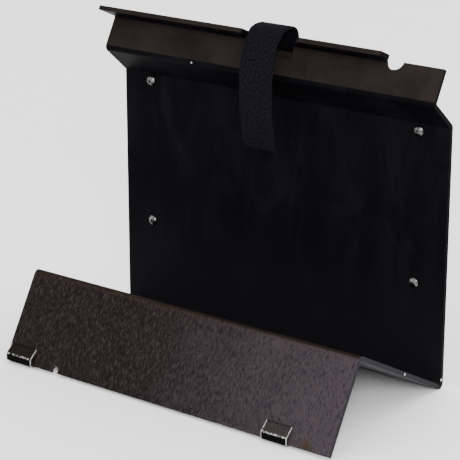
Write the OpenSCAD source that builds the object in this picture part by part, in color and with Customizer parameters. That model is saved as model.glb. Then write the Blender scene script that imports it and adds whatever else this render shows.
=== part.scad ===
// Free-standing cradle bent from one sheet, with a hook-and-loop strap.
// Millimetres. X runs along the width, -Y faces the user, +Z is up.

/* [Sheet] */
// Width of the bent sheet
panel_w = 300; // [240:5:360]
// Thickness of the sheet
sheet_t = 3.5; // [2:0.5:4]
// Inside radius of every bend
bend_r = 1; // [0.5:0.5:2]

/* [Profile, corner to corner on the user's side] */
// Height of the upright back
back_h = 200.4; // [190:0.1:230]
// Length of the shelf
shelf_len = 131.5; // [120:0.5:140]
// Rise of the shelf towards the user, degrees
shelf_slope = 28.8; // [24:0.1:32]
// Lean of the front lip from the vertical, degrees
lip_lean = 31; // [26:1:34]
// Length of the ledge over the back
ledge_len = 34; // [28:1:40]
// Rise of the ledge towards the user, degrees
ledge_rise = 40.5; // [35:0.5:45]
// Length of the crest strip
crest_len = 27; // [22:1:32]
// Lean of the crest strip from the vertical, degrees
crest_lean = 30; // [25:1:34]
// Length of the top flange
flange_len = 22; // [18:1:24]
// Rise of the top flange towards the user, degrees
flange_rise = 24; // [20:1:30]

/* [Cut-outs] */
// Where the top flange stops, from the middle
flange_end_x = 109.2; // [100:0.1:120]
// Radius of the relief hole at the end of the flange
relief_r = 7.5; // [5:0.1:8]
// Distance of the relief hole's centre beyond the bend, on the flange's side
relief_rise = 2; // [1:0.1:4]
// How far the crest stands above the flange's bend where it has no flange
crest_spare = 2.2; // [0.5:0.1:4]
// Left end of the gap for the strap, from the middle
gap_left_x = -12.5; // [-14:0.5:-12]
// Right end of the strap gap at the bend, from the middle
gap_right_x = 22; // [21:1:26]
// Right end of the strap gap at the free edge, from the middle
gap_flare_x = 38; // [30:1:44]
// Depth of the strap gap below the flange bend
gap_depth = 4; // [3:0.5:8]
// Centre of the notch in the lip, from the middle
notch_x = -101.5; // [-110:0.5:-95]
// Radius of the notch
notch_r = 3.6; // [3:0.1:4.5]
// Height of the notch's round end above the lip's edge
notch_rise = 1.8; // [1:0.1:3]

/* [Screws] */
// Distance between the left and right screws
screw_span_x = 248; // [220:1:260]
// Distance between the upper and lower screws
screw_span_z = 118; // [100:1:126]
// Height of the middle of the screws above the base
screw_mid_z = 138.5; // [130:0.5:145]
// Diameter of the screw thread
screw_d = 4; // [3:1:4]
// Length of the screw under its head
screw_len = 16; // [14:1:20]
// Diameter of the pan head
head_d = 8; // [7:0.1:8.4]
// Height of the pan head
head_h = 2.9; // [2.4:0.1:3.2]

/* [Lip clips] */
// Width of the left lip clip
clip_left_w = 25; // [20:1:28]
// Width of the right lip clip
clip_right_w = 22; // [20:1:28]
// Thickness of the clip's spring strip
clip_t = 0.8; // [0.6:0.1:1]
// Centre of the left clip, from the middle
clip_left_x = -136; // [-137:1:-130]
// Centre of the right clip, from the middle
clip_right_x = 104.5; // [90:0.5:120]

/* [Strap] */
// Width of the webbing
strap_w = 30; // [25:1:30]
// Thickness of the webbing
strap_t = 2; // [1.5:0.1:2.4]
// Centre of the strap, from the middle
strap_x = 4; // [3:0.5:5]
// Distance of the strap's crown in front of the upright back
crown_front = 15; // [13:1:17]
// Height of the strap's crown above the base
crown_z = 262; // [261:0.5:264]

/* [Hidden] */
$fn = 48;
paint = "#2b2422";
zinc = "#c9cac8";
webbing = "#16161b";
air = 0.3;           // kept between the moving flap and its neighbours
fit_r = 0.2;         // radial clearance of a screw or rivet in its hole
bend_step = 8;       // widest angle of one facet of a bend

SIDES = [["left", -1], ["right", 1]];
LEVELS = [["upper", 1], ["lower", -1]];

// ---- Walking a strip through its flats and bends, in the plane [y, z] ----
// A strip's baseline is on the right of its heading and its thickness on the left.
function dir(a) = [cos(a), sin(a)];
function bend_side(turn, r, t) = turn > 0 ? r + t : -r;
function setback(turn, r, t) = abs(bend_side(turn, r, t)) * tan(abs(turn) / 2);
function after_bend(p, h, turn, r, t) =
    let (side = bend_side(turn, r, t))
    [p + side * (dir(h + 90) - dir(h + turn + 90)), h + turn];
function walk(at, flats, turns, radii, t, n, i = 0) = i == n ? at
    : walk(after_bend(at[0] + flats[i] * dir(at[1]), at[1], turns[i], radii[i], t),
        flats, turns, radii, t, n, i + 1);

// The flats left of a chain of corner-to-corner lengths once its bends are rounded
function flats_of(runs, turns, r, t) = [for (i = [0 : len(runs) - 1])
    runs[i] - (i > 0 ? setback(turns[i - 1], r, t) : 0)
            - (i < len(turns) ? setback(turns[i], r, t) : 0)];

// Points along the line that runs off to the left of a strip's baseline
function side_line(at, flats, turns, radii, t, off, i = 0) =
    let (start = at[0] + off * dir(at[1] + 90), end = at[0] + flats[i] * dir(at[1]))
    i == len(turns) ? [start, end + off * dir(at[1] + 90)]
    : let (side = bend_side(turns[i], radii[i], t), centre = end + side * dir(at[1] + 90),
           steps = max(4, ceil(abs(turns[i]) / bend_step)))
      concat([start],
        [for (k = [0 : steps - 1])
            centre - (side - off) * dir(at[1] + 90 + turns[i] * k / steps)],
        side_line(after_bend(end, at[1], turns[i], radii[i], t), flats, turns, radii, t,
            off, i + 1));

function reversed(list) = [for (i = [len(list) - 1 : -1 : 0]) list[i]];

function strip_points(at, flats, turns, radii, t) =
    concat(side_line(at, flats, turns, radii, t, 0),
        reversed(side_line(at, flats, turns, radii, t, t)));

// Stands a [y, z] outline between two places along X
module across(x0, x1) {
    translate([x0, 0, 0]) rotate([90, 0, 90]) linear_extrude(x1 - x0) children();
}

// Turns a feature so that +Y follows a heading and +Z its left-hand normal
module on_flat(x, at) {
    translate([x, at[0][0], at[0][1]]) rotate([at[1], 0, 0]) children();
}

// ---- The sheet's headings and corners, from the flange's free edge to the lip ----
flange_a = -flange_rise;
crest_a = -90 - crest_lean;
ledge_a = -ledge_rise;
back_a = -90;
shelf_a = -180 - shelf_slope;
lip_a = -90 - lip_lean;
sheet_turns = [crest_a - flange_a, ledge_a - crest_a, back_a - ledge_a, shelf_a - back_a,
    lip_a - shelf_a];
sheet_radii = [for (a = sheet_turns) bend_r];

clip_clear = 0.15;   // between a clip and the lip it is pushed on
clip_r = 0.4;        // inside radius of a clip's bends
lip_tilt = sin(lip_lean) + cos(lip_lean);
lip_edge_z = clip_t + clip_clear * lip_tilt - clip_r * (lip_tilt - 1);

heel = [0, bend_r + sheet_t - bend_r * (tan(shelf_slope) + 1 / cos(shelf_slope))];
ledge_root = heel + [0, back_h];
ledge_nose = ledge_root - ledge_len * dir(ledge_a);
crest_top = ledge_nose - crest_len * dir(crest_a);
flange_tip = crest_top - flange_len * dir(flange_a);
lip_top = heel + shelf_len * dir(shelf_a);
lip_len = (lip_top[1] - sheet_t * sin(lip_lean) - lip_edge_z) / cos(lip_lean);
lip_edge = lip_top + lip_len * dir(lip_a);

sheet_runs = [flange_len, crest_len, ledge_len, back_h, shelf_len, lip_len];
sheet_flats = flats_of(sheet_runs, sheet_turns, bend_r, sheet_t);
crest_start = [crest_top + setback(sheet_turns[0], bend_r, sheet_t) * dir(crest_a), crest_a];

// ---- Lip clips: a spring strip round the lip's edge, from the back to the front ----
clip_back = 11;        // up the back of the lip
clip_nose = 0.6;       // how far the foot passes the front face
clip_out_a = 30;       // outward slant of the lower front face
clip_in_a = 20;        // inward slant of the upper front face
clip_low = 4.6;        // length of the lower front face
clip_flare = 1.2;      // length of the flared tip
clip_foot = sheet_t + 2 * clip_clear + clip_nose;
clip_high = (clip_nose + clip_low * sin(clip_out_a)) / sin(clip_in_a);
clip_turns = [-90, clip_out_a - 90, -clip_out_a - clip_in_a, clip_in_a + 15];
clip_flats = flats_of([clip_back, clip_foot, clip_low, clip_high, clip_flare],
    clip_turns, clip_r, clip_t);
clip_corner = lip_edge + (sheet_t + clip_clear) * dir(lip_a + 90) + clip_clear * dir(lip_a);
clip_start = [clip_corner - clip_back * dir(lip_a), lip_a];

// ---- Strap: a fixed tail behind the back and over the crown, then the moving flap ----
crown = [-crown_front, crown_z];
tail_a = -8;
tail_down_a = -82;
tail_r = 7;
tail_crown = 5;
tail_back_y = sheet_t + 0.02;
tail_end_z = 164;
fold_r = strap_t / 2 + 0.1;   // radius of the round fold on the flap's turning line
tail_start = [crown + (fold_r + air) * dir(tail_a) - strap_t / 2 * dir(tail_a + 90), tail_a];
tail_turns = [tail_down_a - tail_a, back_a - tail_down_a];
tail_radii = [tail_r, 40];
tail_knee = walk(tail_start, [tail_crown], tail_turns, tail_radii, strap_t, 1);
tail_slant = (tail_back_y - tail_knee[0][0]) / cos(tail_down_a)
    - setback(tail_turns[1], tail_radii[1], strap_t);
tail_foot = walk(tail_start, [tail_crown, tail_slant], tail_turns, tail_radii, strap_t, 2);
tail_flats = [tail_crown, tail_slant, tail_foot[0][1] - tail_end_z];

flap_a = 195;
flap_flats = [4, 6, 11, 16, 14, 6];
flap_turns = [35, 27, 14, 9, 12];
flap_radii = [12, 14, 60, 60, 30];
flap_start = [crown - strap_t / 2 * dir(flap_a + 90), flap_a];

hook_t = 1.2;          // thickness of the hook patch sewn inside the tip
hook_w = 26;
hook_at = walk(flap_start, flap_flats, flap_turns, flap_radii, strap_t, 4);
hook_start = [hook_at[0] + strap_t * dir(hook_at[1] + 90), hook_at[1]];

// ---- Strap anchor: a plate over the tail, held by two flush rivets ----
anchor_w = 28;
anchor_h = 13;
anchor_t = 1.5;
anchor_z = 173;
rivet_d = 4;
rivet_pitch = 17;
rivet_sink = 1.2;      // depth of the countersink
rivet_head_d = 6.6;
rivet_head_h = 1.3;
rivet_grip = tail_back_y + strap_t + anchor_t;

// ---- Fastener sizes that follow the screw ----
hole_r = screw_d / 2 + fit_r;
washer_r = screw_d * 1.125;
washer_t = 0.8;
nut_flats = screw_d * 1.75;
nut_h = screw_d * 0.8;
core_d = screw_d * 0.9;   // the thread's mean diameter, where the nut and sheet hold it
grip = sheet_t + washer_t + nut_h;

// The origin is under the middle of the whole assembly
clip_toe = walk(clip_start, clip_flats, clip_turns, [clip_r, clip_r], clip_t, 1);
toe_end = clip_toe[0] + clip_flats[1] * dir(clip_toe[1]);
front_y = (toe_end - clip_r * dir(clip_toe[1] + 90))[0] - clip_r - clip_t;
mid_y = (front_y + screw_len) / 2;

module frame() {
    translate([0, -mid_y, 0]) children();
}

// ---- Sheet ----
// The sheet without its flange, with the crest running straight up past the bend
function bare_crest_points() =
    let (spare = crest_spare * dir(crest_a + 180))
    concat([crest_start[0] + spare],
        strip_points(crest_start, [for (i = [1 : 5]) sheet_flats[i]],
            [for (i = [1 : 4]) sheet_turns[i]], [for (i = [1 : 4]) bend_r], sheet_t),
        [crest_start[0] + sheet_t * dir(crest_a + 90) + spare]);

// One round hole over the bend: each side of it is cut square to its own flat
module relief_hole() {
    on_flat(flange_end_x, [crest_top, crest_a + 180])
        translate([0, relief_rise, -2 * sheet_t])
            cylinder(r = relief_r, h = 2 * sheet_t + 1.5);
    on_flat(flange_end_x, [crest_top, flange_a])
        intersection() {
            translate([0, -relief_rise, -1]) cylinder(r = relief_r, h = sheet_t + 2);
            translate([-2 * relief_r, -4 * relief_r - 0.2, -2])
                cube([4 * relief_r, 4 * relief_r, sheet_t + 4]);
        }
}

// Opens the flange for the strap, wider at its free edge, and slots the crest below it
module strap_gap() {
    on_flat(0, [crest_top, flange_a + 180])
        translate([0, 0, -3 * sheet_t])
            linear_extrude(6 * sheet_t)
                polygon([[gap_left_x, -1], [gap_right_x, -1], [gap_right_x, 0],
                    [gap_flare_x, flange_len], [gap_flare_x, flange_len + 2],
                    [gap_left_x, flange_len + 2]]);
    on_flat(gap_left_x, crest_start)
        translate([0, -3 * sheet_t, -sheet_t])
            cube([gap_right_x - gap_left_x, gap_depth + 3 * sheet_t, 3 * sheet_t]);
}

module lip_notch() {
    on_flat(notch_x, [lip_edge, lip_a])
        translate([0, -notch_rise, -sheet_t]) cylinder(r = notch_r, h = 3 * sheet_t);
}

module bent_panel() {
    color(paint) frame()
        difference() {
            union() {
                across(-panel_w / 2, flange_end_x)
                    polygon(strip_points([flange_tip, flange_a], sheet_flats, sheet_turns,
                        sheet_radii, sheet_t));
                across(flange_end_x, panel_w / 2) polygon(bare_crest_points());
            }
            strap_gap();
            relief_hole();
            lip_notch();
            for (v = LEVELS, s = SIDES)
                screw_axis(v[1], s[1]) translate([0, 0, -1]) cylinder(r = hole_r, h = sheet_t + 2);
            for (s = SIDES)
                rivet_axis(s[1]) rivet_hole();
        }
}

// ---- Screws, washers and nuts: local +Z runs from the head into the sheet ----
module screw_axis(v, s) {
    translate([s * screw_span_x / 2, 0, screw_mid_z + v * screw_span_z / 2])
        rotate([-90, 0, 0]) children();
}

// A dome whose rim is a short cylinder
module pan_head() {
    rim_h = head_h * 0.35;
    dome_h = head_h - rim_h;
    dome_r = (pow(head_d / 2, 2) + pow(dome_h, 2)) / (2 * dome_h);
    dome_a = asin(head_d / 2 / dome_r);
    translate([0, 0, -head_h]) rotate_extrude()
        polygon([[0, head_h], [head_d / 2, head_h],
            for (k = [0 : 8]) [dome_r * sin(dome_a * (8 - k) / 8),
                dome_r * (1 - cos(dome_a * (8 - k) / 8))]]);
}

module cross_recess() {
    for (a = [45, 135])
        translate([0, 0, -head_h]) rotate(a)
            translate([-head_d * 0.26, -head_d * 0.055, -1])
                cube([head_d * 0.52, head_d * 0.11, head_h * 0.55 + 1]);
}

module screw(v, s) {
    color(zinc) frame() screw_axis(v, s)
        difference() {
            union() {
                pan_head();
                cylinder(d = core_d, h = grip);
                translate([0, 0, grip]) cylinder(d = screw_d, h = screw_len - grip);
            }
            cross_recess();
        }
}

module washer(v, s) {
    color(zinc) frame() screw_axis(v, s)
        translate([0, 0, sheet_t])
            difference() {
                cylinder(r = washer_r, h = washer_t);
                translate([0, 0, -1]) cylinder(r = hole_r, h = washer_t + 2);
            }
}

module nut(v, s) {
    color(zinc) frame() screw_axis(v, s)
        translate([0, 0, sheet_t + washer_t])
            difference() {
                cylinder(d = nut_flats / cos(30), h = nut_h, $fn = 6);
                translate([0, 0, -1]) cylinder(d = core_d, h = nut_h + 2);
            }
}

// ---- Clips ----
module lip_clip(x, w) {
    color(zinc) frame()
        across(x - w / 2, x + w / 2)
            polygon(strip_points(clip_start, clip_flats, clip_turns,
                [for (a = clip_turns) clip_r], clip_t));
}

// ---- Strap ----
module strap_tail() {
    color(webbing) frame()
        difference() {
            across(strap_x - strap_w / 2, strap_x + strap_w / 2)
                polygon(strip_points(tail_start, tail_flats, tail_turns, tail_radii, strap_t));
            for (s = SIDES)
                rivet_axis(s[1]) cylinder(r = rivet_d / 2 + fit_r, h = 3 * sheet_t);
        }
}

module strap_flap() {
    color(webbing) frame()
        across(strap_x - strap_w / 2, strap_x + strap_w / 2) {
            translate(crown) circle(fold_r);
            polygon(strip_points(flap_start, flap_flats, flap_turns, flap_radii, strap_t));
        }
}

module hook_patch() {
    color(webbing) frame()
        across(strap_x - hook_w / 2, strap_x + hook_w / 2)
            polygon(strip_points(hook_start, [flap_flats[4], flap_flats[5] - 1.5],
                [flap_turns[4]], [flap_radii[4] - hook_t], hook_t));
}

module rivet_axis(s) {
    translate([strap_x + s * rivet_pitch / 2, 0, anchor_z]) rotate([-90, 0, 0]) children();
}

module rivet_hole() {
    translate([0, 0, -1]) cylinder(r = rivet_d / 2 + fit_r, h = sheet_t + 2);
    cylinder(r1 = rivet_d / 2 + rivet_sink + fit_r, r2 = rivet_d / 2 + fit_r, h = rivet_sink);
}

module rivet(s) {
    color(paint) frame() rivet_axis(s) {
        cylinder(d = rivet_d, h = rivet_grip + rivet_head_h / 2);
        cylinder(r1 = rivet_d / 2 + rivet_sink, r2 = rivet_d / 2, h = rivet_sink);
        translate([0, 0, rivet_grip]) cylinder(d1 = rivet_head_d, d2 = rivet_d, h = rivet_head_h);
    }
}

module strap_anchor_plate() {
    color(zinc) frame()
        difference() {
            translate([strap_x - anchor_w / 2, tail_back_y + strap_t, anchor_z - anchor_h / 2])
                cube([anchor_w, anchor_t, anchor_h]);
            for (s = SIDES)
                rivet_axis(s[1]) cylinder(r = rivet_d / 2 + fit_r, h = 4 * sheet_t);
        }
}

// ---- Assembly ----
bent_panel();
for (v = LEVELS, s = SIDES) {
    place = str(v[0], "_", s[0]);
    screw(v[1], s[1]);
    washer(v[1], s[1]);
    nut(v[1], s[1]);
}
lip_clip(clip_left_x, clip_left_w);  // lip_clip_left
lip_clip(clip_right_x, clip_right_w);  // lip_clip_right
strap_tail();
strap_flap();
hook_patch();
strap_anchor_plate();
rivet(-1);  // rivet_left
rivet(1);  // rivet_right
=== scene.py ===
import math

import bmesh
import bpy
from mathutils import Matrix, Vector, noise
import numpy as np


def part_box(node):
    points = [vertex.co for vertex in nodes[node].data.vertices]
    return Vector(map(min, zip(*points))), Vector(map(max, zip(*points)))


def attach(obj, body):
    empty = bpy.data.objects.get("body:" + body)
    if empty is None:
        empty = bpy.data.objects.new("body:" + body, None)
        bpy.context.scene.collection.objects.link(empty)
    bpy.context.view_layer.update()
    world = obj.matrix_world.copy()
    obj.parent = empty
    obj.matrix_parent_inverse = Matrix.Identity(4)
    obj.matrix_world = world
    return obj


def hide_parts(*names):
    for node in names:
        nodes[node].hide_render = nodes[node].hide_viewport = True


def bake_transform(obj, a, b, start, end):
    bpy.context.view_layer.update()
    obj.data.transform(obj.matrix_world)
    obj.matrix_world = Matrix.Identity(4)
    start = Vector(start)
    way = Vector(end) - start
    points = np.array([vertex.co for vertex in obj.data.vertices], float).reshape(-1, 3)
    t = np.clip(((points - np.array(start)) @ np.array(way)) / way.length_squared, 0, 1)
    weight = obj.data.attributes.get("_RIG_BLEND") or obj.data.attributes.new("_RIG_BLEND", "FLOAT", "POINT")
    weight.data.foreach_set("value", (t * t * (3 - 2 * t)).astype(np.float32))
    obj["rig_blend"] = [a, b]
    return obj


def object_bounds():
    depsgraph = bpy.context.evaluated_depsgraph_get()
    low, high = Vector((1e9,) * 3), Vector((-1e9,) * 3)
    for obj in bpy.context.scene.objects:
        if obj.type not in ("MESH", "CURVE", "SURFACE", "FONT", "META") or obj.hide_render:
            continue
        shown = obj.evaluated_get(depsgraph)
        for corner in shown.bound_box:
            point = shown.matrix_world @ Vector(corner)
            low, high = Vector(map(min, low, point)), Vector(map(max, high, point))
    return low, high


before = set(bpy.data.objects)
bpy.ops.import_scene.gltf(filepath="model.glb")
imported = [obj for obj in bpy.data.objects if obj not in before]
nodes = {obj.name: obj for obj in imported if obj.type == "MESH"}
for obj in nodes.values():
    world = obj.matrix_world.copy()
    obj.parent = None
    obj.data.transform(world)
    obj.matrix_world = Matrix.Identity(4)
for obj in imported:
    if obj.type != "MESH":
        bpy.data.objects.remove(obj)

cadLow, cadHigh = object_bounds()
scene = bpy.context.scene
mm = 0.001


# places on the bent sheet, worked out from its flats and angles

sheet = {
    "thickness": 3.5, "heelHeight": 2.81,
    "back": 200.4, "shelf": 131.5, "shelfSlope": 28.8,
    "ledge": 34.0, "ledgeRise": 40.5, "crest": 27.0, "crestLean": 30.0,
    "flange": 22.0, "flangeRise": 24.0,
}


def towards(degrees):
    return Vector((0.0, math.cos(math.radians(degrees)), math.sin(math.radians(degrees))))


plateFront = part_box("bent_panel")[1].y - sheet["thickness"] * mm
heel = Vector((0.0, plateFront, sheet["heelHeight"] * mm))
ledgeRoot = heel + Vector((0.0, 0.0, sheet["back"] * mm))
ledgeNose = ledgeRoot - towards(-sheet["ledgeRise"]) * sheet["ledge"] * mm
crestTop = ledgeNose - towards(-90 - sheet["crestLean"]) * sheet["crest"] * mm
flangeTip = crestTop - towards(-sheet["flangeRise"]) * sheet["flange"] * mm
lipTop = heel + towards(180 - sheet["shelfSlope"]) * sheet["shelf"] * mm


# small helpers for nodes

class Value:
    # one socket that can be used in a Python sum; a sum adds Math nodes
    def __init__(self, paint, socket):
        self.paint = paint
        self.socket = socket

    def math(self, operation, *others, clamp=False):
        return self.paint.node("ShaderNodeMath", {"operation": operation, "use_clamp": clamp},
                               {i: v for i, v in enumerate((self,) + others)})

    def __add__(self, other):
        return self.math("ADD", other)

    def __radd__(self, other):
        return self.math("ADD", other)

    def __sub__(self, other):
        return self.math("SUBTRACT", other)

    def __rsub__(self, other):
        return self.paint.node("ShaderNodeMath", {"operation": "SUBTRACT"}, {0: other, 1: self})

    def __mul__(self, other):
        return self.math("MULTIPLY", other)

    def __rmul__(self, other):
        return self.math("MULTIPLY", other)

    def __neg__(self):
        return self.math("MULTIPLY", -1.0)

    def __abs__(self):
        return self.math("ABSOLUTE")

    def clamp(self):
        return self.math("ADD", 0.0, clamp=True)

    def most(self, other):
        return self.math("MAXIMUM", other)

    def rise(self, low, high):
        # 0 below low, 1 above high, smooth between
        return self.paint.node("ShaderNodeMapRange", {"interpolation_type": "SMOOTHSTEP"},
                               {"Value": self, "From Min": low, "From Max": high})


class Paint:
    # builds one material; node() adds any node, with its settings set first
    def __init__(self, name):
        self.material = bpy.data.materials.new(name)
        self.material.use_nodes = True
        self.tree = self.material.node_tree
        self.tree.nodes.clear()

    def node(self, kind, settings=None, inputs=None, output=0):
        made = self.tree.nodes.new(kind)
        for key, value in (settings or {}).items():
            setattr(made, key, value)
        for key, value in (inputs or {}).items():
            if isinstance(value, Value):
                self.tree.links.new(value.socket, made.inputs[key])
            else:
                made.inputs[key].default_value = value
        return Value(self, made.outputs[output]) if made.outputs else made

    def coordinates(self, which="Object"):
        return self.node("ShaderNodeTexCoord", output=which)

    def parts(self, vector):
        split = self.tree.nodes.new("ShaderNodeSeparateXYZ")
        self.tree.links.new(vector.socket, split.inputs[0])
        return [Value(self, s) for s in split.outputs]

    def normal(self):
        return self.parts(self.node("ShaderNodeNewGeometry", output="Normal"))

    def scaled(self, vector, scale):
        return self.node("ShaderNodeMapping", {}, {"Vector": vector, "Scale": scale})

    def noise(self, vector, scale, detail=3.0, roughness=0.55, distortion=0.0):
        return self.node("ShaderNodeTexNoise", {}, {
            "Vector": vector, "Scale": scale, "Detail": detail, "Roughness": roughness,
            "Distortion": distortion})

    def mix(self, factor, first, second):
        # sockets 6 and 7 of a Mix node are its two colours, and output 2 is the result
        first, second = [c if isinstance(c, Value) else (*c, 1.0) for c in (first, second)]
        return self.node("ShaderNodeMix", {"data_type": "RGBA"},
                         {0: factor, 6: first, 7: second}, output=2)

    def distance(self, vector, place):
        return self.node("ShaderNodeVectorMath", {"operation": "DISTANCE"},
                         {0: vector, 1: place}, output="Value")

    def bump(self, height, depth, normal=None):
        links = {"Height": height, "Distance": depth, "Strength": 1.0}
        if normal is not None:
            links["Normal"] = normal
        return self.node("ShaderNodeBump", {}, links)

    def surface(self, inputs):
        inputs = {k: ((*v, 1.0) if isinstance(v, tuple) and len(v) == 3 and "Color" in k else v)
                  for k, v in inputs.items()}
        shader = self.node("ShaderNodeBsdfPrincipled", {}, inputs)
        self.node("ShaderNodeOutputMaterial", {}, {"Surface": shader})
        return self.material


# materials

panelLook = {
    "paint": (0.0019, 0.0017, 0.0024),
    "smudgesAndReflection": (0.0036, 0.0033, 0.0043),
    "paleNearFoot": (0.0056, 0.0053, 0.0064),
    "crest": (0.0130, 0.0102, 0.0084),
    "lipLitLeft": (0.0090, 0.0065, 0.0066),
    "lipLitRight": (0.0340, 0.0270, 0.0320),
    "grain": (0.0400, 0.0300, 0.0290),
    "brown": (0.0300, 0.0180, 0.0100),
    "bare": (0.62, 0.60, 0.56), "tip": (0.085, 0.066, 0.030),
    "roughness": 0.30, "gloss": 0.008, "relief": 0.00003,
    # chips: place in metres, size in metres
    "chips": [((-0.065, ledgeNose.y, ledgeNose.z), 0.0016),
              ((0.050, ledgeNose.y, ledgeNose.z), 0.0014),
              ((0.150, heel.y - 0.0535, heel.z + 0.0275), 0.0010),
              ((0.150, heel.y + 0.001, heel.z + 0.004), 0.0012)],
    "notchX": -0.1015, "notchHeight": 0.0035, "notchBrown": (0.040, 0.024, 0.010),
    "stain": (0.1295, cadLow.y + 0.004, 0.0045), "stainSize": 0.0080,
    "stainBrown": (0.026, 0.016, 0.006), "lipStarts": -0.025,
    "chipDepth": 0.00012,
    "shelfUnderReflection": (0.075, 0.072, 0.076), "shelfEnd": (0.022, 0.021, 0.024),
}


def blackPaint():
    paint = Paint("black paint")
    look = panelLook
    place = paint.coordinates()
    x, y, z = paint.parts(place)
    nx, ny, nz = paint.normal()

    clouds = paint.noise(place, 22.0, 4.0, 0.6)
    smears = paint.noise(paint.scaled(place, (1.0, 1.0, 0.4)), 34.0, 4.0, 0.62, 0.6)
    grit = paint.noise(place, 900.0, 2.0, 0.6)
    grain = paint.noise(paint.scaled(place, (1.0, 0.30, 0.30)), 900.0, 4.0, 0.72)

    # painted light: the crest's and the lip's faces that turn forward and up are painted lighter and
    # browner, as lit faces, the crest darker as painted shade under the flange; the plate is a little
    # lighter near its foot
    litFaces = nz.rise(0.25, 0.45) * (-ny).rise(0.4, 0.7)
    onCrest = y.rise(look["lipStarts"] - 0.005, look["lipStarts"])
    onLip = litFaces * (1.0 - onCrest)
    # painted light: the lip is painted lighter towards its right end, a painted sheen from light falling
    # from the right
    lip = paint.mix((x + (clouds - 0.5) * 0.10).rise(-0.060, 0.195), look["lipLitLeft"],
                    look["lipLitRight"])
    # smudges over the paint, partly real marks and partly painted smudgy reflections on the gloss plate
    colour = paint.mix(smears.rise(0.40, 0.72), look["paint"], look["smudgesAndReflection"])
    colour = paint.mix(1.0 - z.rise(0.0, 0.12), colour, look["paleNearFoot"])
    colour = paint.mix(litFaces * onCrest * (0.55 + 0.45 * clouds.rise(0.36, 0.60)), colour,
                       look["crest"])
    colour = paint.mix(onLip, colour, lip)
    colour = paint.mix(grain.rise(0.47, 0.70) * (onLip * 0.60 + litFaces * onCrest * 0.10),
                       colour, look["grain"])
    colour = paint.mix((1.0 - grain.rise(0.34, 0.52)) * onLip * 0.60, colour, look["paint"])

    # a brown tint rubbed along the lip's bend
    bend = paint.distance(paint.scaled(place, (0.0, 1.0, 1.0)), (0.0, lipTop.y, lipTop.z))
    rubbed = (1.0 - bend.rise(0.002, 0.006)) * (0.35 + 0.65 * grain.rise(0.35, 0.7))
    colour = paint.mix(rubbed * 0.45, colour, look["brown"])

    # brown metal round the notch, and one rubbed spot beside the right clip
    notch = paint.distance(paint.scaled(place, (1.0, 0.0, 1.0)),
                           (look["notchX"], 0.0, look["notchHeight"]))
    raw = (1.0 - (notch + grit * 0.0008).rise(0.0040, 0.0050)) * (1.0 - y.rise(-0.02, 0.0))
    colour = paint.mix(raw * 0.6, colour, look["notchBrown"])
    blot = paint.distance(place, look["stain"]) + (clouds - 0.5) * 0.004
    colour = paint.mix((1.0 - blot.rise(0.0, look["stainSize"])) * 0.8, colour,
                       look["stainBrown"])

    # the flange's left end is painted a patchy yellow-brown
    tip = (1.0 - x.rise(-0.1497, -0.1485)) * z.rise(flangeTip.z - 0.009, flangeTip.z - 0.004)
    tip = tip * (1.0 - y.rise(flangeTip.y + 0.010, flangeTip.y + 0.016))
    colour = paint.mix(tip * grit.rise(0.35, 0.6) * 0.8, colour, look["tip"])

    # the shelf's cut ends are greyer than its top; its lower face is painted pale grey, a painted reflection
    # of the floor
    shelf = (1.0 - y.rise(plateFront - 0.006, plateFront)) * (1.0 - z.rise(0.070, 0.080))
    colour = paint.mix(abs(nx).rise(0.7, 0.95) * shelf * 0.8, colour, look["shelfEnd"])
    colour = paint.mix((-nz).rise(0.55, 0.8) * shelf * 0.9, colour, look["shelfUnderReflection"])

    chip = None
    for where, size in look["chips"]:
        edge = paint.distance(place, where) + (grit - 0.5) * size
        spot = 1.0 - edge.rise(size * 0.75, size)
        chip = spot if chip is None else chip.most(spot)
    colour = paint.mix(chip, colour, look["bare"])

    rough = look["roughness"] + smears * 0.20 + grit * 0.05 + litFaces * (0.06 + 0.12 * grain)
    relief = paint.bump(grain * litFaces + smears * 0.3, look["relief"] * 2)
    relief = paint.bump(1.0 - chip, look["chipDepth"], normal=relief)
    return paint.surface({
        "Base Color": colour, "Roughness": rough.clamp(), "Metallic": chip * 0.9,
        "Normal": relief, "Specular IOR Level": look["gloss"]})


zincLook = {"light": (0.130, 0.130, 0.128), "dark": (0.034, 0.034, 0.033), "roughness": 0.17}


def zincPlate():
    paint = Paint("bright zinc plate")
    look = zincLook
    place = paint.coordinates()
    mottled = paint.noise(place, 420.0, 4.0, 0.65)
    fine = paint.noise(place, 2600.0, 2.0, 0.5)
    colour = paint.mix(mottled.rise(0.35, 0.7), look["light"], look["dark"])
    rough = look["roughness"] + mottled * 0.18
    return paint.surface({
        "Base Color": colour, "Metallic": 1.0, "Roughness": rough.clamp(),
        "Normal": paint.bump(fine, 0.00002)})


clipLook = {"lacquer": (0.0009, 0.0008, 0.0008),
            "tint": {"left": (0.0078, 0.0062, 0.0048), "right": (0.0250, 0.0200, 0.0205)},
            "bare": (0.50, 0.49, 0.47), "edge": 0.0005}


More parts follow.
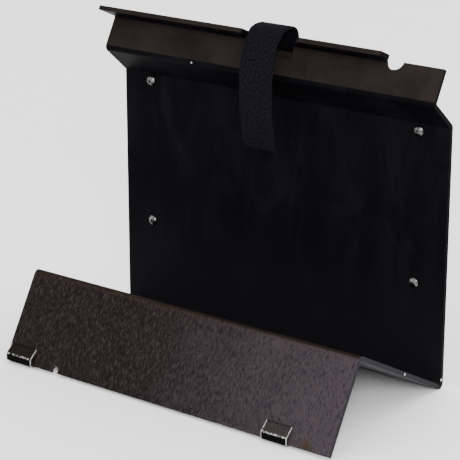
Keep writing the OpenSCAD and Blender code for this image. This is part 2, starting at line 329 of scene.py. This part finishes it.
def clipLacquer(side):
    paint = Paint("lacquered spring strip " + side)
    look = clipLook
    low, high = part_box("lip_clip_" + side)
    place = paint.coordinates()
    x, y, z = paint.parts(place)
    nx, ny, nz = paint.normal()
    wear = paint.noise(place, 700.0, 4.0, 0.65)
    brushed = paint.noise(paint.scaled(place, (0.03, 1.0, 1.0)), 1500.0, 3.0, 0.6)
    # painted light: the upward faces are painted a lighter brown as lit faces, the right clip's lighter than
    # the left's
    upper = nz.rise(0.2, 0.4) * (0.5 + 0.5 * wear.rise(0.35, 0.6))
    # bare metal on the cut ends, where the lacquer has rubbed off, with a painted highlight on the left end;
    # along the fold the bare metal is a painted highlight
    half = (high.x - low.x) / 2
    ends = abs(x - (low.x + high.x) / 2).rise(half - look["edge"] * 1.5, half - look["edge"] / 2)
    creaseHighlight = (1.0 - (y - low.y).rise(0.0004, 0.0012)) * nz.rise(0.05, 0.20)
    bare = (ends * (0.30 + 0.70 * wear.rise(0.40, 0.56))).most(creaseHighlight * wear.rise(0.46, 0.62) * 0.8)
    colour = paint.mix(upper, look["lacquer"], look["tint"][side])
    colour = paint.mix(bare, colour, look["bare"])
    rough = 0.34 + wear * 0.16 + brushed * 0.08 - bare * 0.12
    return paint.surface({
        "Base Color": colour, "Metallic": bare * 0.95, "Roughness": rough.clamp(),
        "Normal": paint.bump(brushed + wear, 0.00003), "Specular IOR Level": 0.02})


webbingLook = {"thread": (0.0019, 0.0018, 0.0024), "worn": (0.0066, 0.0062, 0.0084),
               "rib": 620.0, "pile": 520.0, "relief": 0.00025}


def blackWebbing():
    paint = Paint("black loop webbing")
    look = webbingLook
    along = paint.coordinates("UV")
    u, v, w = paint.parts(along)
    ribs = (v * (2.0 * math.pi * look["rib"])).math("SINE") * 0.5 + 0.5
    cross = (u * (2.0 * math.pi * look["rib"] * 0.8)).math("SINE") * 0.5 + 0.5
    pile = paint.noise(along, look["pile"], 4.0, 0.7)
    matted = paint.noise(along, 120.0, 4.0, 0.65)
    weave = ribs * 0.5 + cross * 0.5
    colour = paint.mix((pile * 0.88 + weave * 0.12).rise(0.36, 0.70), look["thread"],
                       look["worn"])
    colour = paint.mix(matted.rise(0.5, 0.8) * 0.25, colour, look["worn"])
    height = pile * 0.7 + weave * 0.2 + matted * 0.6
    return paint.surface({
        "Base Color": colour, "Roughness": (0.80 + pile * 0.15).clamp(),
        "Normal": paint.bump(height, look["relief"]), "Specular IOR Level": 0.02})


hookLook = {"dark": (0.010, 0.010, 0.012), "worn": (0.028, 0.028, 0.032)}


def hookTape():
    paint = Paint("moulded hook tape")
    place = paint.coordinates()
    bumps = paint.noise(place, 2200.0, 2.0, 0.5)
    worn = paint.noise(place, 160.0, 3.0, 0.6)
    colour = paint.mix(worn.rise(0.4, 0.75), hookLook["dark"], hookLook["worn"])
    return paint.surface({
        "Base Color": colour, "Roughness": (0.52 + bumps * 0.2).clamp(),
        "Normal": paint.bump(bumps, 0.0001)})


threadLook = {"dark": (0.0020, 0.0020, 0.0028), "light": (0.0080, 0.0080, 0.0100)}


def blackThread():
    paint = Paint("black sewing thread")
    place = paint.coordinates()
    twist = paint.noise(place, 3000.0, 2.0, 0.5)
    colour = paint.mix(twist, threadLook["dark"], threadLook["light"])
    return paint.surface({"Base Color": colour, "Roughness": (0.6 + twist * 0.2).clamp(),
                          "Specular IOR Level": 0.05})


floorLook = {"grey": (0.86, 0.86, 0.86), "white": (0.90, 0.90, 0.90), "halfSize": 40.0}


def paleFloor():
    paint = Paint("pale floor")
    place = paint.coordinates()
    faint = paint.noise(place, 3.0, 3.0, 0.5)
    colour = paint.mix(faint, floorLook["grey"], floorLook["white"])
    return paint.surface({"Base Color": colour, "Roughness": 0.6 + faint * 0.1})


panelPaint, zincMetal = blackPaint(), zincPlate()
webbingCloth, hookPlastic, threadBlack = blackWebbing(), hookTape(), blackThread()
print("materials made")


# mesh helpers: lengths in metres, angles in degrees

meshCare = {"weld": 0.00001, "flatWithin": 0.5, "bevelAbove": 35, "smoothBelow": 32.0,
            "closeCorners": 0.000003}


def shaded(mesh, smoothAngle):
    mesh.polygons.foreach_set("use_smooth", [True] * len(mesh.polygons))
    mesh.set_sharp_from_angle(angle=math.radians(smoothAngle))
    return mesh


def pieceFrom(name, mesh, material, body, smoothAngle=None):
    mesh.materials.clear()
    mesh.materials.append(material)
    if smoothAngle:
        shaded(mesh, smoothAngle)
    piece = bpy.data.objects.new(name, mesh)
    scene.collection.objects.link(piece)
    if body:
        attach(piece, body)
    return piece


def meshOf(shape, name):
    mesh = bpy.data.meshes.new(name)
    shape.to_mesh(mesh)
    shape.free()
    return mesh


def mergedCopy(nodeName):
    # a CAD node's loose triangles, welded and with its flats made whole again
    shape = bmesh.new()
    shape.from_mesh(nodes[nodeName].data)
    for layer in list(shape.loops.layers.uv.values()):
        shape.loops.layers.uv.remove(layer)
    bmesh.ops.remove_doubles(shape, verts=shape.verts, dist=meshCare["weld"])
    bmesh.ops.dissolve_limit(shape, angle_limit=math.radians(meshCare["flatWithin"]),
                             verts=shape.verts, edges=shape.edges)
    mesh = meshOf(shape, nodeName + "Merged")
    for extra in [a for a in mesh.attributes if a.name == "custom_normal"]:
        mesh.attributes.remove(extra)
    return mesh


def finished(piece):
    # the modifiers' result as a plain mesh
    graph = bpy.context.evaluated_depsgraph_get()
    mesh = bpy.data.meshes.new_from_object(piece.evaluated_get(graph))
    bpy.data.objects.remove(piece)
    return mesh


def softened(nodeName, pieceName, width, segments, material, body="root"):
    # the node's own shape with its sharp edges eased, shown in its place
    rough = bpy.data.objects.new(pieceName + "Rough", mergedCopy(nodeName))
    scene.collection.objects.link(rough)
    bevel = rough.modifiers.new("eased edges", "BEVEL")
    bevel.width = width
    bevel.segments = segments
    bevel.limit_method = "ANGLE"
    bevel.angle_limit = math.radians(meshCare["bevelAbove"])
    even = rough.modifiers.new("closed corners", "WELD")
    even.merge_threshold = meshCare["closeCorners"]
    eased = bpy.data.objects.new(pieceName + "Eased",
                                 shaded(finished(rough), meshCare["smoothBelow"]))
    scene.collection.objects.link(eased)
    flats = eased.modifiers.new("true flats", "WEIGHTED_NORMAL")
    flats.weight = 100
    flats.keep_sharp = True
    piece = pieceFrom(pieceName, finished(eased), material, body)
    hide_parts(nodeName)
    return piece


# sheet and clips

panelEdges = {"width": 0.00035, "segments": 3}
clipEdges = {"width": 0.00010, "segments": 2}
anchorEdges = {"width": 0.0003, "segments": 3}

softened("bent_panel", "bentPanel", panelEdges["width"], panelEdges["segments"],
         panelPaint)
for side in ("left", "right"):
    softened("lip_clip_" + side, "lipClip" + side.title(), clipEdges["width"],
             clipEdges["segments"], clipLacquer(side))
softened("strap_anchor_plate", "strapAnchorPlate", anchorEdges["width"],
         anchorEdges["segments"], zincMetal)
print("sheet and clips made")


# geometry node trees

class Tree:
    # a geometry node tree with named inputs, put together in the script
    def __init__(self, name, inputs):
        self.tree = bpy.data.node_groups.new(name, "GeometryNodeTree")
        face = self.tree.interface
        face.new_socket("Geometry", in_out="INPUT", socket_type="NodeSocketGeometry")
        for label, kind in inputs.items():
            face.new_socket(label, in_out="INPUT", socket_type="NodeSocket" + kind)
        face.new_socket("Geometry", in_out="OUTPUT", socket_type="NodeSocketGeometry")
        self.start = self.tree.nodes.new("NodeGroupInput")
        self.end = self.tree.nodes.new("NodeGroupOutput")

    def given(self, label):
        return self.start.outputs[label]

    def add(self, kind, settings=None, inputs=None, output=0):
        made = self.tree.nodes.new(kind)
        for key, value in (settings or {}).items():
            setattr(made, key, value)
        for key, value in (inputs or {}).items():
            if isinstance(value, bpy.types.NodeSocket):
                self.tree.links.new(value, made.inputs[key])
            else:
                made.inputs[key].default_value = value
        return made.outputs[output]

    def finish(self, geometry):
        solid = self.add("GeometryNodeRealizeInstances", inputs={"Geometry": geometry})
        painted = self.add("GeometryNodeSetMaterial", inputs={
            "Geometry": solid, "Material": self.given("Material")})
        self.tree.links.new(painted, self.end.inputs[0])

    def run(self, name, mesh, values):
        # grows the tree on a mesh or curve and gives the plain mesh back
        holder = bpy.data.objects.new(name + "Holder", mesh)
        scene.collection.objects.link(holder)
        grown = holder.modifiers.new(name, "NODES")
        grown.node_group = self.tree
        for item in self.tree.interface.items_tree:
            if item.in_out == "INPUT" and item.name in values:
                grown[item.identifier] = values[item.name]
        return finished(holder)


# screws: one is built, the tree puts four in place

screw = {
    "spanX": 0.248, "spanZ": 0.118, "height": 0.1385, "length": 0.016,
    "thread": 0.0020, "pitch": 0.0007, "threadDepth": 0.00036,
    "pointLength": 0.0008, "pointTaper": 0.0005,
    "headRadius": 0.0040, "headHeight": 0.0029, "rimShare": 0.35,
    "crossLength": 0.0036, "crossWidth": 0.00085, "crossDepth": 0.0017,
    "around": 32, "domeRings": 8, "turnSeed": 7,
}


def screwBlank():
    # local -Y is the head's side, and the shank runs to +Y from the sheet's front
    around = screw["around"]
    rim = screw["headHeight"] * screw["rimShare"]
    dome = screw["headHeight"] - rim
    ball = (screw["headRadius"] ** 2 + dome ** 2) / (2 * dome)
    head = []
    for k in range(screw["domeRings"] + 1):
        angle = math.asin(screw["headRadius"] / ball) * k / screw["domeRings"]
        head.append((ball * math.sin(angle) + 1e-5,
                     -screw["headHeight"] + ball * (1 - math.cos(angle))))
    head += [(screw["headRadius"], -rim * 0.5), (screw["headRadius"] - 0.0001, 0.0),
             (screw["thread"], 0.0)]
    circle = [2 * math.pi * i / around for i in range(around)]
    rings = [[(radius * math.cos(a), y, radius * math.sin(a)) for a in circle]
             for radius, y in head]
    turns = int(screw["length"] / screw["pitch"] * 4)
    point = screw["pointLength"]
    for k in range(1, turns + 1):
        y = screw["length"] * k / turns
        taper = screw["pointTaper"] * max(0.0, (y - screw["length"] + point) / point)
        ring = []
        for i, a in enumerate(circle):
            phase = (y / screw["pitch"] - i / around) % 1.0
            radius = screw["thread"] - screw["threadDepth"] * abs(2 * phase - 1) - taper
            ring.append((radius * math.cos(a), y, radius * math.sin(a)))
        rings.append(ring)
    shape = bmesh.new()
    verts = [[shape.verts.new(p) for p in ring] for ring in rings]
    for lower, upper in zip(verts, verts[1:]):
        for i in range(around):
            j = (i + 1) % around
            shape.faces.new((lower[i], lower[j], upper[j], upper[i]))
    shape.faces.new(verts[0])
    shape.faces.new(reversed(verts[-1]))
    bmesh.ops.recalc_face_normals(shape, faces=shape.faces)
    return meshOf(shape, "screwBlank")


def crossCutter():
    # two blades, narrower at the recess's floor (+Y) than at its mouth
    cutter = bmesh.new()
    for turn in (0.0, 90.0):
        c, s = math.cos(math.radians(turn)), math.sin(math.radians(turn))
        for v in bmesh.ops.create_cube(cutter, size=1.0)["verts"]:
            atFloor = v.co.y > 0
            x = v.co.x * screw["crossLength"] * (0.55 if atFloor else 1.15)
            z = v.co.z * screw["crossWidth"] * (0.8 if atFloor else 1.1)
            y = -screw["headHeight"] + (screw["crossDepth"] if atFloor else -0.001)
            v.co = (x * c - z * s, y, x * s + z * c)
    return meshOf(cutter, "screwCross")


def screwMesh():
    blank = bpy.data.objects.new("screwBlank", screwBlank())
    cross = bpy.data.objects.new("screwCross", crossCutter())
    for item in (blank, cross):
        scene.collection.objects.link(item)
    cut = blank.modifiers.new("cross", "BOOLEAN")
    cut.operation = "DIFFERENCE"
    cut.solver = "EXACT"
    cut.use_self = True
    cut.object = cross
    result = finished(blank)
    bpy.data.objects.remove(cross)
    return result


def screwTree():
    tree = Tree("four screws", {"Screw": "Object", "Span X": "Float", "Span Z": "Float",
                                "Seed": "Int", "Material": "Material"})
    grid = tree.add("GeometryNodeMeshGrid", inputs={
        "Size X": tree.given("Span X"), "Size Y": tree.given("Span Z"),
        "Vertices X": 2, "Vertices Y": 2})
    upright = tree.add("GeometryNodeTransform", inputs={
        "Geometry": grid, "Rotation": (math.pi / 2, 0.0, 0.0)})
    one = tree.add("GeometryNodeObjectInfo", inputs={"Object": tree.given("Screw")},
                   output="Geometry")
    turn = tree.add("FunctionNodeRandomValue", {"data_type": "FLOAT_VECTOR"}, {
        0: (0.0, 0.0, 0.0), 1: (0.0, math.pi, 0.0), "Seed": tree.given("Seed")})
    spin = tree.add("FunctionNodeEulerToRotation", inputs={"Euler": turn})
    placed = tree.add("GeometryNodeInstanceOnPoints", inputs={
        "Points": upright, "Instance": one, "Rotation": spin})
    tree.finish(placed)
    return tree


def makeScrews():
    blank = bpy.data.objects.new("oneScrew", screwMesh())
    scene.collection.objects.link(blank)
    mesh = screwTree().run("screws", bpy.data.meshes.new("screwStart"), {
        "Screw": blank, "Span X": screw["spanX"], "Span Z": screw["spanZ"],
        "Seed": screw["turnSeed"], "Material": zincMetal})
    bpy.data.objects.remove(blank)
    for v in mesh.vertices:
        v.co += Vector((0.0, plateFront, screw["height"]))
    piece = pieceFrom("panHeadScrews", mesh, zincMetal, "root", 30.0)
    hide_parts(*[n for n in nodes if n.startswith("screw_")])


makeScrews()
keptNodes = {"washer_": zincMetal, "nut_": zincMetal, "rivet_": panelPaint}
for name, node in nodes.items():
    for start, material in keptNodes.items():
        if name.startswith(start):
            node.data.materials.clear()
            node.data.materials.append(material)
print("fastenings made")


# strap: one webbing from the anchor, over the crown and down the front

strap = {
    "width": 0.030, "thickness": 0.0020, "x": 0.004,
    "crownFront": 0.015, "crownHeight": 0.262, "gap": 0.0003,
    "flapHeading": 195.0, "flapFlats": (4, 6, 11, 16, 14, 6),
    "flapTurns": (35, 27, 14, 9, 12), "flapRadii": (12, 14, 60, 60, 30),
    "tailHeading": -8.0, "tailDown": -82.0, "tailRadius": 7.0, "tailCrown": 5.0,
    "tailEnd": 0.164, "tailPoints": 40, "backPoints": 30,
    "easing": 30, "easedAtCrown": 0.006, "easedAtKnee": 0.012,
    "step": 0.0011, "across": 18, "ripple": 0.00016, "fuzz": 0.00007, "frayed": 0.00012,
    "endThinning": (0.45, 0.8, 0.95), "turnReach": 0.0028,
}


def walk(start, heading, flats, turns, radii, thickness):
    # the strap's middle line through its flats and bends, as points about 1 mm apart
    points = [start.copy()]
    at = start.copy()
    for i, flat in enumerate(flats):
        steps = max(1, round(flat))
        for k in range(1, steps + 1):
            points.append(at + towards(heading) * (flat * mm * k / steps))
        at = points[-1].copy()
        if i < len(turns):
            turn = turns[i]
            radius = radii[i] * mm + thickness / 2
            side = 90 if turn > 0 else -90
            centre = at + towards(heading + side) * radius
            steps = max(3, round(abs(math.radians(turn)) * radius / mm))
            for k in range(1, steps + 1):
                points.append(centre - towards(heading + side + turn * k / steps) * radius)
            at = points[-1].copy()
            heading += turn
    return points, heading


def strapLine():
    s = strap
    crown = Vector((0.0, plateFront - s["crownFront"], s["crownHeight"]))
    flap, _ = walk(crown, s["flapHeading"], s["flapFlats"], s["flapTurns"], s["flapRadii"],
                   s["thickness"])
    first = crown + towards(s["tailHeading"]) * (s["thickness"] / 2 + s["gap"])
    bendDown = s["tailDown"] - s["tailHeading"]
    head, angle = walk(first, s["tailHeading"], (s["tailCrown"], 0), (bendDown,),
                       (s["tailRadius"],), s["thickness"])
    middle = plateFront + (sheet["thickness"] + 0.02) * mm + s["thickness"] / 2
    slant = towards(angle)
    reach = (middle - head[-1].y) / slant.y
    foot = head[-1] + slant * reach
    end = Vector((0.0, middle, s["tailEnd"]))
    tail = head + [head[-1].lerp(foot, k / s["tailPoints"])
                   for k in range(1, s["tailPoints"] + 1)]
    tail += [foot.lerp(end, k / s["backPoints"]) for k in range(1, s["backPoints"] + 1)]
    line = list(reversed(tail)) + flap
    for _ in range(s["easing"]):  # eases the corners at the crown and at the tail's knee
        eased = [p.copy() for p in line]
        for i in range(1, len(line) - 1):
            atCrown = (line[i] - crown).length < s["easedAtCrown"]
            if atCrown or (line[i] - foot).length < s["easedAtKnee"]:
                eased[i] = line[i] * 0.5 + (line[i - 1] + line[i + 1]) * 0.25
        line = eased
    spaced = [line[0]]
    left = s["step"]
    for a, b in zip(line, line[1:]):
        run = (b - a).length
        done = 0.0
        while run - done >= left:
            done += left
            spaced.append(a.lerp(b, done / run))
            left = s["step"]
        left -= run - done
    return crown, spaced


def strapSection():
    # half-round selvedges and flat faces, as (across, out) pairs round the webbing
    s = strap
    half, deep = s["width"] / 2, s["thickness"] / 2
    points = []
    for side in (1, -1):
        for k in range(s["across"] + 1):
            points.append((side * (half - deep) * (1 - 2 * k / s["across"]), side * deep))
        for k in range(1, 5):
            angle = math.radians(90 + 36 * k)
            points.append((side * (-(half - deep) + deep * math.cos(angle)),
                           side * deep * math.sin(angle)))
    return points


def makeStrap():
    s = strap
    crown, line = strapLine()
    section = strapSection()
    shape = bmesh.new()
    uv = shape.loops.layers.uv.new("weave")
    rows = []
    for i, p in enumerate(line):
        ahead = line[min(i + 1, len(line) - 1)] - line[max(i - 1, 0)]
        ahead.normalize()
        out = Vector((0.0, ahead.z, -ahead.y))  # away from the sheet along the flap
        end = min(i, len(line) - 1 - i)
        thin = s["endThinning"][end] if end < len(s["endThinning"]) else 1.0
        ring = []
        for across, lift in section:
            place = Vector((s["x"] + across, p.y, p.z)) + out * lift * thin
            wave = noise.noise(Vector((place.x * 70, i * 0.05, 3.0)))
            fuzz = noise.noise(Vector((place.x * 900, i * 0.8, lift * 900)))
            edge = abs(across) / (s["width"] / 2)
            place += out * (wave * s["ripple"] + fuzz * s["fuzz"]) * thin
            place.x += fuzz * s["frayed"] * edge ** 6 * (1 if across > 0 else -1)
            ring.append(shape.verts.new(place))
        rows.append(ring)
    lengths = [0.0]
    for a, b in zip(section, section[1:] + section[:1]):
        lengths.append(lengths[-1] + math.dist(a, b))
    count = len(section)
    for i in range(len(rows) - 1):
        for j in range(count):
            k = (j + 1) % count
            face = shape.faces.new((rows[i][j], rows[i][k], rows[i + 1][k], rows[i + 1][j]))
            corners = ((j, i), (j + 1, i), (j + 1, i + 1), (j, i + 1))
            for loop, (a, b) in zip(face.loops, corners):
                loop[uv].uv = (lengths[a], b * s["step"])
    shape.faces.new(rows[0])
    shape.faces.new(reversed(rows[-1]))
    bmesh.ops.recalc_face_normals(shape, faces=shape.faces)
    piece = pieceFrom("strapWebbing", meshOf(shape, "strap"), webbingCloth, None,
                      60.0)
    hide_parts("strap_tail", "strap_flap")
    reach = s["turnReach"]
    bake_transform(piece, "root", "flap", start=(s["x"], crown.y + reach, crown.z),
             end=(s["x"], crown.y - reach, crown.z))
    return line


strapPath = makeStrap()
print("strap made")


# stitches round the hook patch

stitch = {"length": 0.0022, "pitch": 0.0029, "radius": 0.00022, "inset": 0.0035,
          "patchTop": 0.0250, "patchEnd": 0.0030, "alongPoints": 22, "acrossPoints": 10,
          "flattened": 0.35}


def stitchTree():
    tree = Tree("sewn stitches", {"Pitch": "Float", "Length": "Float", "Radius": "Float",
                                  "Material": "Material"})
    path = tree.add("GeometryNodeMeshToCurve", inputs={"Mesh": tree.given("Geometry")})
    spaced = tree.add("GeometryNodeCurveToPoints", {"mode": "LENGTH"}, {
        "Curve": path, "Length": tree.given("Pitch")})
    turned = spaced.node.outputs["Rotation"]
    line = tree.add("GeometryNodeCurvePrimitiveLine", {"mode": "DIRECTION"}, {
        "Direction": (0.0, 0.0, 1.0), "Length": tree.given("Length")})
    bent = tree.add("GeometryNodeResampleCurve", inputs={"Curve": line, "Count": 6})
    along = tree.add("GeometryNodeSplineParameter", output="Factor")
    hump = tree.add("ShaderNodeFloatCurve", inputs={"Value": along})
    curve = hump.node.mapping.curves[0]
    curve.points[0].location = (0.0, stitch["flattened"])
    curve.points[1].location = (1.0, stitch["flattened"])
    curve.points.new(0.5, 1.0)
    hump.node.mapping.update()
    ring = tree.add("GeometryNodeCurvePrimitiveCircle", inputs={
        "Resolution": 6, "Radius": tree.given("Radius")})
    thread = tree.add("GeometryNodeCurveToMesh", inputs={
        "Curve": bent, "Profile Curve": ring, "Scale": hump, "Fill Caps": True})
    laid = tree.add("GeometryNodeInstanceOnPoints", inputs={
        "Points": spaced, "Instance": thread, "Rotation": turned})
    tree.finish(laid)
    return tree


def seamMesh(name, runs):
    # open runs of points joined by edges
    mesh = bpy.data.meshes.new(name)
    verts, edges = [], []
    for run in runs:
        first = len(verts)
        verts += [tuple(p) for p in run]
        edges += [(first + i, first + i + 1) for i in range(len(run) - 1)]
    mesh.from_pydata(verts, edges, [])
    return mesh


def onStrap(fromEnd, across, lift):
    # a point on the strap's outer face, measured back from the flap's end
    i = len(strapPath) - 1 - round(fromEnd / strap["step"])
    ahead = (strapPath[min(i + 1, len(strapPath) - 1)] - strapPath[i - 1]).normalized()
    out = Vector((0.0, ahead.z, -ahead.y))
    return strapPath[i] + Vector((strap["x"] + across, 0, 0)) + out * lift


def makeStitches():
    lift = strap["thickness"] / 2
    half = strap["width"] / 2 - stitch["inset"]
    steps, acrossSteps = stitch["alongPoints"], stitch["acrossPoints"]
    span = stitch["patchTop"] - stitch["patchEnd"]
    runs = []
    for side in (-half, half):
        runs.append([onStrap(stitch["patchEnd"] + span * k / steps, side, lift)
                     for k in range(steps + 1)])
    for back in (stitch["patchEnd"], stitch["patchTop"]):
        runs.append([onStrap(back, -half + 2 * half * k / acrossSteps, lift)
                     for k in range(acrossSteps + 1)])
    mesh = stitchTree().run("flapStitches", seamMesh("flapSeam", runs), {
        "Pitch": stitch["pitch"], "Length": stitch["length"], "Radius": stitch["radius"],
        "Material": threadBlack})
    pieceFrom("flapStitches", mesh, threadBlack, "flap", 80.0)


makeStitches()
print("stitches made")


# hook patch: rows of small moulded hooks on its inner face

hooks = {"pitch": 0.0014, "height": 0.0008, "radius": 0.00017, "seed": 3,
         "knob": 1.5, "smallest": 0.85, "sunk": 0.00005, "margin": 0.003,
         "patchDeep": 0.0012, "patchWide": 0.026, "from": 0.0030, "to": 0.0180}


def hookTree():
    tree = Tree("moulded hooks", {"Height": "Float", "Radius": "Float", "Seed": "Int",
                                  "Material": "Material"})
    stem = tree.add("GeometryNodeMeshCone", inputs={
        "Vertices": 6, "Radius Top": 0.6, "Radius Bottom": 1.0, "Depth": 1.0})
    knob = tree.add("GeometryNodeMeshIcoSphere", inputs={"Radius": 1.0, "Subdivisions": 1})
    slim = tree.add("ShaderNodeCombineXYZ", inputs={
        "X": tree.given("Radius"), "Y": tree.given("Radius"), "Z": tree.given("Height")})
    stalk = tree.add("GeometryNodeTransform", inputs={"Geometry": stem, "Scale": slim})
    wide = tree.add("ShaderNodeMath", {"operation": "MULTIPLY"},
                    {0: tree.given("Radius"), 1: hooks["knob"]})
    ball = tree.add("ShaderNodeCombineXYZ", inputs={"X": wide, "Y": wide, "Z": wide})
    lifted = tree.add("ShaderNodeCombineXYZ", inputs={"Z": tree.given("Height")})
    tip = tree.add("GeometryNodeTransform", inputs={
        "Geometry": knob, "Scale": ball, "Translation": lifted})
    both = tree.add("GeometryNodeJoinGeometry", inputs={"Geometry": stalk})
    tree.tree.links.new(tip, both.node.inputs[0])
    upright = tree.add("FunctionNodeAlignRotationToVector", inputs={
        "Vector": tree.add("GeometryNodeInputNormal")})
    size = tree.add("FunctionNodeRandomValue", {"data_type": "FLOAT"}, {
        2: hooks["smallest"], 3: 1.0, "Seed": tree.given("Seed")}, output=1)
    grown = tree.add("GeometryNodeInstanceOnPoints", inputs={
        "Points": tree.given("Geometry"), "Instance": both, "Rotation": upright,
        "Scale": size})
    tree.finish(grown)
    return tree


def makeHooks():
    # a sheet of points on the patch's inner face carries the rows of hooks
    deep = -(strap["thickness"] / 2 + hooks["patchDeep"] - hooks["sunk"])
    wide = hooks["patchWide"] - hooks["margin"]
    rows = round((hooks["to"] - hooks["from"]) / hooks["pitch"])
    columns = round(wide / hooks["pitch"])
    points, faces = [], []
    for i in range(rows + 1):
        for j in range(columns + 1):
            across = (j / columns - 0.5) * wide
            points.append(tuple(onStrap(hooks["from"] + hooks["pitch"] * i, across, deep)))
    for i in range(rows):
        for j in range(columns):
            a = i * (columns + 1) + j
            faces.append((a, a + columns + 1, a + columns + 2, a + 1))
    mesh = bpy.data.meshes.new("hookRows")
    mesh.from_pydata(points, [], faces)
    if mesh.polygons[0].normal.y < 0:
        mesh.flip_normals()
    grown = hookTree().run("patchHooks", mesh, {
        "Height": hooks["height"], "Radius": hooks["radius"], "Seed": hooks["seed"],
        "Material": hookPlastic})
    pieceFrom("patchHooks", grown, hookPlastic, "flap", 50.0)


patchEdges = {"width": 0.0002, "segments": 2}

softened("hook_patch", "hookPatch", patchEdges["width"], patchEdges["segments"], hookPlastic,
         "flap")
makeHooks()
print("hook patch made")


# stage: floor, lights, camera

def makeFloor():
    mesh = bpy.data.meshes.new("floor")
    half = floorLook["halfSize"]
    mesh.from_pydata([(-half, -half, 0), (half, -half, 0), (half, half, 0), (-half, half, 0)],
                     [], [(0, 1, 2, 3)])
    mesh.materials.append(paleFloor())
    floor = bpy.data.objects.new("floor", mesh)
    scene.collection.objects.link(floor)


lights = {
    "key": {"place": (1.3, -1.6, 1.2), "size": 0.5, "power": 42.0},
    "fill": {"place": (-1.6, -1.3, 1.1), "size": 2.4, "power": 8.0},
    "back": {"place": (0.3, 1.6, 1.6), "size": 1.4, "power": 12.0},
}
backdropLook = {"colour": (1.0, 1.0, 1.0), "strength": 2.2, "aim": (0.0, 0.0, 0.12)}


def makeLights():
    for name, lighting in lights.items():
        data = bpy.data.lights.new(name, "AREA")
        data.shape = "SQUARE"
        data.size = lighting["size"]
        data.energy = lighting["power"]
        lamp = bpy.data.objects.new(name, data)
        lamp.location = lighting["place"]
        aim = Vector(backdropLook["aim"]) - lamp.location
        lamp.rotation_euler = aim.to_track_quat("-Z", "Y").to_euler()
        scene.collection.objects.link(lamp)
    world = bpy.data.worlds.new("studio")
    world.use_nodes = True
    backdrop = world.node_tree.nodes["Background"]
    backdrop.inputs["Color"].default_value = (*backdropLook["colour"], 1.0)
    backdrop.inputs["Strength"].default_value = backdropLook["strength"]
    scene.world = world


camera = {"place": (0.79095, -1.07906, 0.57610), "azimuth": 36.085, "elevation": 19.006,
          "lens": 147.72}


def makeCamera():
    data = bpy.data.cameras.new("camera")
    data.lens = camera["lens"]
    data.sensor_width = 36.0
    data.clip_start, data.clip_end = 0.05, 100.0
    eye = bpy.data.objects.new("camera", data)
    eye.location = camera["place"]
    a, e = math.radians(camera["azimuth"]), math.radians(camera["elevation"])
    ahead = Vector((-math.sin(a) * math.cos(e), math.cos(a) * math.cos(e), -math.sin(e)))
    eye.rotation_euler = ahead.to_track_quat("-Z", "Y").to_euler()
    scene.collection.objects.link(eye)
    scene.camera = eye


makeFloor()
makeLights()
makeCamera()
print("stage ready")
